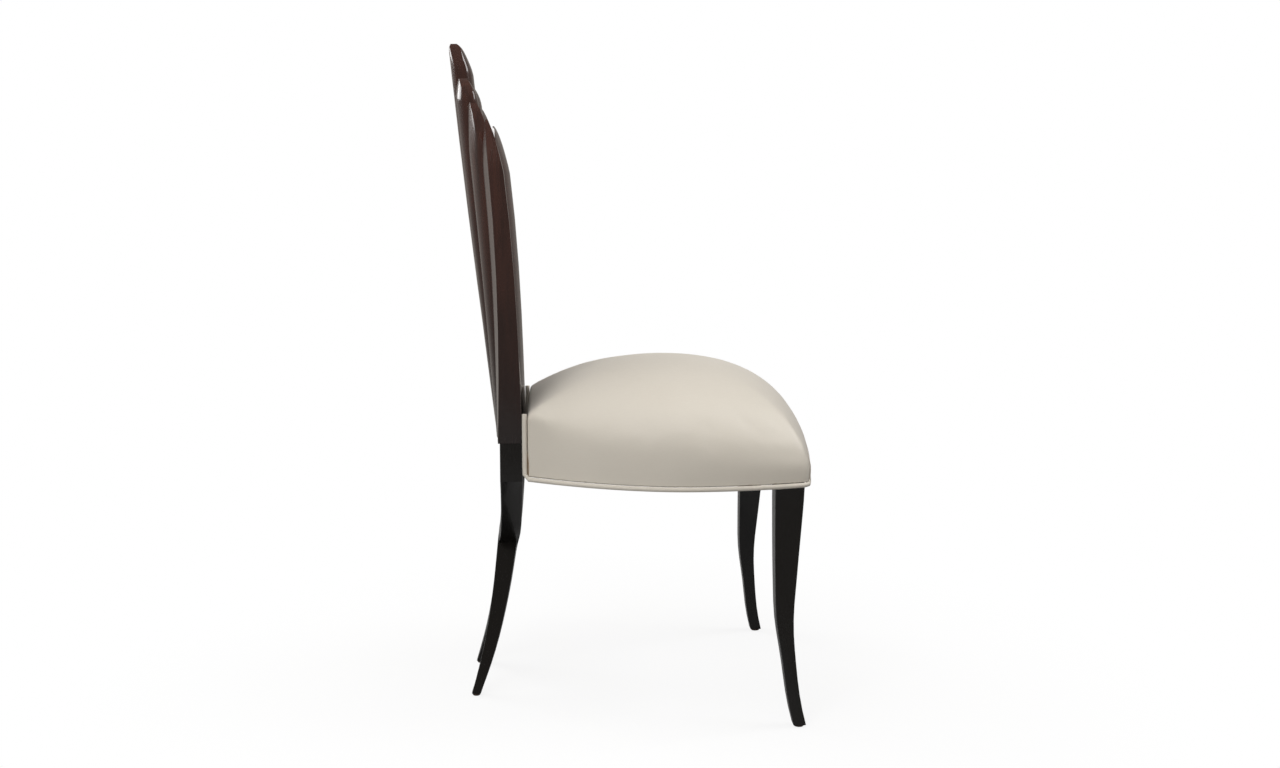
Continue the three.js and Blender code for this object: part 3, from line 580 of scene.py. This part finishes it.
def letOut(piece, settings):
    # a short run of the cloth under pressure, with a cap on each corner's way
    mesh = piece.data
    start = [vertex.co.copy() for vertex in mesh.vertices]
    cloth = piece.modifiers.new("cloth", "CLOTH")
    cloth.settings.quality = settings["quality"]
    cloth.settings.mass = settings["mass"]
    cloth.settings.use_pressure = True
    cloth.settings.uniform_pressure_force = settings["pressure"]
    cloth.settings.effector_weights.gravity = 0.0
    cloth.settings.vertex_group_mass = "held"
    for step in range(1, settings["frames"] + 1):
        bpy.context.scene.frame_set(step)
    view = bpy.context.evaluated_depsgraph_get()
    swollen = [vertex.co.copy() for vertex in piece.evaluated_get(view).data.vertices]
    piece.modifiers.clear()
    bpy.context.scene.frame_set(1)
    furthest = 0.0
    for vertex, before, after in zip(mesh.vertices, start, swollen):
        move = after - before
        furthest = max(furthest, move.length)
        if move.length > settings["cap"]:
            move *= settings["cap"] / move.length
        vertex.co = before + move
    print(f"cushion swelled by up to {furthest * 1000:.1f} mm before the cap")


def padCushion(nodeName, settings):
    low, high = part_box(nodeName)
    piece, skin = outerSkin(nodeName, settings)
    mesh = piece.data
    sideEdge = low.z + settings["held"]
    rearEdge = high.y - settings["heldBehind"]
    normals = [vertex.normal.copy() for vertex in mesh.vertices]
    held = piece.vertex_groups.new(name="held")
    freedom = []
    for vertex, normal in zip(mesh.vertices, normals):
        freeSide = asShare((vertex.co.z - sideEdge) / settings["fade"])
        freeRear = asShare((rearEdge - vertex.co.y) / settings["fade"])
        freedom.append(freeSide * freeRear)
        vertex.co -= normal * settings["drawIn"] * freedom[-1]
        if freedom[-1] < settings["nailedBelow"]:
            held.add([vertex.index], 1.0, "REPLACE")
    letOut(piece, settings)
    shape = shapeOf(piece)
    for _ in range(settings["smoothings"]):
        bmesh.ops.smooth_vert(
            shape, verts=shape.verts, factor=settings["smoothShare"],
            use_axis_x=True, use_axis_y=True, use_axis_z=True,
        )
    for vertex, free in zip(shape.verts, freedom):
        onSkin = skin.find_nearest(vertex.co)[0]
        vertex.co = onSkin.lerp(vertex.co, free)
    bmesh.ops.bisect_plane(
        shape, geom=everyPart(shape), dist=cutTolerance,
        plane_co=(0.0, 0.0, low.z - settings["tuckedIn"]), plane_no=(0.0, 0.0, 1.0), clear_inner=True,
    )
    shape.normal_update()
    under = [face for face in shape.faces if face.normal.z < settings["turnedUnder"]]
    bmesh.ops.delete(shape, geom=under, context="FACES")
    loose = [vertex for vertex in shape.verts if not vertex.link_faces]
    bmesh.ops.delete(shape, geom=loose, context="VERTS")
    smoothFaces(shape)
    writeShape(shape, piece)
    thicken(piece, settings["thickness"])
    finer = piece.modifiers.new("finer", "SUBSURF")
    finer.levels = 1
    finer.render_levels = 1
    keepResult(piece)
    standFor(piece, nodeName)
    return piece


foam = {"shrink": 0.95}


def pressedFoam(nodeName, settings):
    # the block gives a little under the tight cover
    low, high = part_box(nodeName)
    middle = Vector(((low.x + high.x) / 2, (low.y + high.y) / 2, low.z))
    piece, shape = worldCopy(nodeName, "_pressed")
    for vertex in shape.verts:
        vertex.co = middle + (vertex.co - middle) * settings["shrink"]
    smoothFaces(shape)
    writeShape(shape, piece)
    standFor(piece, nodeName)


cornerPleat = {
    "corner": Vector((0.245, -0.282, 0.0)),
    "soughtFrom": 1.4,  # the skin is sought inwards from here, as a share of the corner's place
    "raised": 0.0006,  # above the cover's lower edge
    "height": 0.058,  # how far the fold runs up
    "radius": 0.0021,
    "endRadius": 0.0001,
    "thinPower": 2,
    "sunk": 0.001,  # how deep its upper end lies in the cloth
    "sinkPower": 4,
    "seatedShare": 0.1,  # of the radius, all along the fold
    "rows": 26,
    "around": 8,
}


def foldCorner(cover, side, settings):
    # the cloth's folded edge stands a little proud at each front corner and dies away upwards
    mesh = cover.data
    corners = [vertex.co for vertex in mesh.vertices]
    skin = BVHTree.FromPolygons(corners, [face.vertices for face in mesh.polygons])
    low = min(vertex.co.z for vertex in mesh.vertices) + settings["raised"]
    outside = Vector((settings["corner"].x * side, settings["corner"].y, 0.0)) * settings["soughtFrom"]
    inwards = Vector((-outside.x, -outside.y, 0.0)).normalized()
    along = Vector((-inwards.y, inwards.x, 0.0))
    shape = bmesh.new()
    rings = []
    for row in range(settings["rows"] + 1):
        share = row / settings["rows"]
        start = outside + Vector((0.0, 0.0, low + settings["height"] * share))
        middle = skin.ray_cast(start, inwards)[0]
        radius = settings["radius"] * (1.0 - share ** settings["thinPower"]) + settings["endRadius"]
        sunk = settings["sunk"] * share ** settings["sinkPower"]
        middle += inwards * (sunk - radius * settings["seatedShare"])
        ring = []
        for step in range(settings["around"]):
            turn = math.tau * step / settings["around"]
            aside = along * (math.cos(turn) * radius)
            inside = inwards * (math.sin(turn) * radius)
            ring.append(shape.verts.new(middle + aside + inside))
        rings.append(ring)
    for lower, upper in zip(rings, rings[1:]):
        for step in range(settings["around"]):
            other = (step + 1) % settings["around"]
            face = shape.faces.new((lower[step], lower[other], upper[other], upper[step]))
            face.smooth = True
    shape.faces.new(rings[0])
    shape.faces.new(rings[-1])
    bmesh.ops.recalc_face_normals(shape, faces=shape.faces)
    name = "corner_fold_right" if side > 0.0 else "corner_fold_left"
    piece = newPiece(shape, name, "seat_fabric")
    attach(piece, "root")


cover = padCushion("seat_cover", cushion)
for side in (1.0, -1.0):
    foldCorner(cover, side, cornerPleat)
pressedFoam("seat_foam", foam)
print("cushion padded")

# underside: a thin black cloth stapled up under the rails, hanging a little between them

underCloth = {
    "cell": 0.02,
    "stapled": 0.035,  # width along its edge that lies flat on the rails
    "slope": 0.11,  # how much further in the full sag is reached
    "sag": 0.006,
    "thickness": 0.0005,
}


def distanceToEdge(point, edge):
    first, second = edge
    along = second - first
    share = asShare((point - first).dot(along) / along.length_squared)
    return (first + along * share - point).length


def hangUnderCloth(nodeName, settings):
    piece, shape = worldCopy(nodeName, "_hung")
    others = [face for face in shape.faces if face.normal.z > facingDown]
    bmesh.ops.delete(shape, geom=others, context="FACES")
    rim = [(edge.verts[0].co.copy(), edge.verts[1].co.copy()) for edge in shape.edges if edge.is_boundary]
    flatArea = sum(face.calc_area() for face in shape.faces)
    low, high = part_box(nodeName)
    for axis in (0, 1):
        normal = Vector((0.0, 0.0, 0.0))
        normal[axis] = 1.0
        for step in range(1, int((high[axis] - low[axis]) / settings["cell"]) + 1):
            bmesh.ops.bisect_plane(
                shape, geom=everyPart(shape), dist=cutTolerance,
                plane_co=low + normal * (step * settings["cell"]), plane_no=normal,
            )
    for vertex in shape.verts:
        reach = min(distanceToEdge(vertex.co, edge) for edge in rim)
        vertex.co.z -= settings["sag"] * ease((reach - settings["stapled"]) / settings["slope"])
    smoothFaces(shape)
    writeShape(shape, piece)
    thicken(piece, settings["thickness"])
    keepResult(piece)
    standFor(piece, nodeName)


hangUnderCloth("dust_cover", underCloth)
print("underside hung")

# webbing: straps woven over and under each other

weave = {
    "steps": 60,
    "thickness": 0.0013,
    "lift": 0.0008,  # how far a strap leaves the middle level at each crossing
    "slack": 0.000001,  # a place this short of a crossing counts as reached
}


def middleOf(nodeName, axis):
    low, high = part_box(nodeName)
    return (low[axis] + high[axis]) / 2


def weaveStrap(nodeName, axis, crossed, firstUp, settings):
    low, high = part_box(nodeName)
    across = 1 - axis
    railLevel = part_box("webbing_lengthwise_1")[0].z
    middle = railLevel + settings["thickness"] + settings["lift"]
    # each knot is a place along the strap and the level it has there
    knots = [(low[axis], railLevel)]
    for count, place in enumerate(sorted(middleOf(other, axis) for other in crossed)):
        side = 1.0 if (count + firstUp) % 2 else -1.0
        knots.append((place, middle - settings["thickness"] / 2 + side * settings["lift"]))
    knots.append((high[axis], railLevel))
    shape = bmesh.new()
    rows = []
    for step in range(settings["steps"] + 1):
        place = low[axis] + (high[axis] - low[axis]) * step / settings["steps"]
        at = max(index for index, knot in enumerate(knots[:-1]) if knot[0] <= place + settings["slack"])
        (lastPlace, lastLevel), (nextPlace, nextLevel) = knots[at:at + 2]
        share = ease((place - lastPlace) / (nextPlace - lastPlace))
        row = []
        for edge in (low[across], high[across]):
            corner = Vector((0.0, 0.0, lastLevel + (nextLevel - lastLevel) * share))
            corner[axis] = place
            corner[across] = edge
            row.append(shape.verts.new(corner))
        rows.append(row)
    for first, second in zip(rows, rows[1:]):
        shape.faces.new((first[0], first[1], second[1], second[0]))
    smoothFaces(shape)
    bmesh.ops.recalc_face_normals(shape, faces=shape.faces)
    shape.normal_update()
    if shape.faces[0].normal.z > 0.0:
        bmesh.ops.reverse_faces(shape, faces=shape.faces)
    piece = newPiece(shape, nodeName + "_woven", "webbing")
    thicken(piece, settings["thickness"])
    keepResult(piece)
    standFor(piece, nodeName)


lengthwise = [f"webbing_lengthwise_{count}" for count in range(1, 6)]
crosswise = [f"webbing_crosswise_{count}" for count in range(1, 5)]
for count, nodeName in enumerate(lengthwise):
    weaveStrap(nodeName, 1, crosswise, count, weave)
for count, nodeName in enumerate(crosswise):
    weaveStrap(nodeName, 0, lengthwise, count + 1, weave)
print("webbing woven")

# floor and light

studio = {
    "floor": 2.4,  # half its width
    "floorWhite": (0.95, 0.95, 0.95, 1.0),
    "floorGrey": (0.25, 0.25, 0.25, 1.0),  # what the object sees of it
    "nearFloor": 0.35,  # from here outwards the glow grows
    "farFloor": 0.95,  # and from here on it is full
    "nearGlow": 0.85,  # how much the floor shines to the camera near the chair
    "farGlow": 0.15,  # what is added to that further out
    "roomColor": (1.0, 0.92, 0.85, 1.0),
    "roomGrey": 0.17,
    "rearGrey": 0.28,
    "away": (1.0, 0.0, 0.0),  # from the camera to the far side of the room
    "rearFrom": 0.3,
    "rearFull": 1.0,
}
lamps = {
    "keyLight": {
        "place": (0.1, -2.7, 2.7),
        "aim": (0.0, -0.2, 0.45),
        "size": (1.8, 1.8),
        "power": 53.0,
        "inGloss": True,
    },
    "topLight": {
        "place": (-0.7, 0.5, 3.1),
        "aim": (0.0, -0.1, 0.5),
        "size": (2.4, 2.0),
        "power": 30.0,
        "inGloss": False,  # the gloss faces a dim room on the camera's side
    },
    "sideLight": {
        "place": (-2.8, 1.2, 1.9),
        "aim": (0.0, 0.1, 0.5),
        "size": (1.6, 1.8),
        "power": 45.0,
        "inGloss": False,
    },
    "rearLight": {
        "place": (1.6, 2.6, 2.2),
        "aim": (0.0, 0.1, 0.7),
        "size": (2.2, 2.2),
        "power": 58.0,
        "inGloss": True,
    },
}


def makeFloor(settings):
    shape = bmesh.new()
    bmesh.ops.create_grid(shape, x_segments=1, y_segments=1, size=settings["floor"])
    floor = bpy.data.objects.new("studioFloor", bpy.data.meshes.new("studioFloor"))
    bpy.context.scene.collection.objects.link(floor)
    writeShape(shape, floor)
    finish = Finish("floorWhite")
    seen = finish.node("ShaderNodeLightPath", out="Is Camera Ray")
    finish.set(Base_Color=finish.blend(seen, settings["floorGrey"], settings["floorWhite"]), Roughness=1.0)
    glow = finish.node("ShaderNodeEmission", {}, {"Color": white, "Strength": 1.0})
    # 0 near the middle of the floor, 1 further out
    where = finish.node("ShaderNodeTexCoord", out="Object")
    reach = finish.node("ShaderNodeVectorMath", {"operation": "LENGTH"}, [where], out="Value")
    far = finish.range(reach, settings["nearFloor"], settings["farFloor"])
    share = seen * (far * settings["farGlow"] + settings["nearGlow"])
    plain = Sock(finish, finish.shader.outputs[0])
    mixed = finish.node("ShaderNodeMixShader", {}, [share, plain, glow])
    finish.feed(finish.output.inputs["Surface"], mixed)
    floor.data.materials.append(finish.material)


def areaLight(name, place, aim, size, power, inGloss):
    data = bpy.data.lights.new(name, "AREA")
    data.shape = "RECTANGLE"
    data.size, data.size_y = size
    data.energy = power
    lamp = bpy.data.objects.new(name, data)
    bpy.context.scene.collection.objects.link(lamp)
    lamp.location = place
    lamp.rotation_mode = "QUATERNION"
    lamp.rotation_quaternion = (Vector(aim) - Vector(place)).to_track_quat("-Z", "Y")
    lamp.visible_glossy = inGloss


class Sky(Finish):
    # the world's node tree, built the same way as a material's

    def __init__(self, name):
        self.world = bpy.data.worlds.new(name)
        self.world.use_nodes = True
        self.tree = self.world.node_tree
        self.tree.nodes.clear()
        self.output = self.tree.nodes.new("ShaderNodeOutputWorld")


def makeWorld(settings):
    # white to the camera; to the object a dim room that is lighter on the side away from the camera
    sky = Sky("studioWorld")
    bpy.context.scene.world = sky.world
    where = sky.node("ShaderNodeTexCoord", out="Generated")
    facing = [where, settings["away"]]
    toRear = sky.node("ShaderNodeVectorMath", {"operation": "DOT_PRODUCT"}, facing, out="Value")
    span = (settings["rearFrom"], settings["rearFull"])
    dim = sky.range(toRear, *span, settings["roomGrey"], settings["rearGrey"])
    room = sky.node("ShaderNodeBackground", {}, {"Color": settings["roomColor"], "Strength": dim})
    backdrop = sky.node("ShaderNodeBackground", {}, {"Color": white, "Strength": 1.0})
    seen = sky.node("ShaderNodeLightPath", out="Is Camera Ray")
    mixed = sky.node("ShaderNodeMixShader", {}, [seen, room, backdrop])
    sky.feed(sky.output.inputs["Surface"], mixed)


makeFloor(studio)
makeWorld(studio)
for name, lamp in lamps.items():
    areaLight(name, **lamp)
bpy.context.scene.view_settings.view_transform = "Standard"
print("studio set")
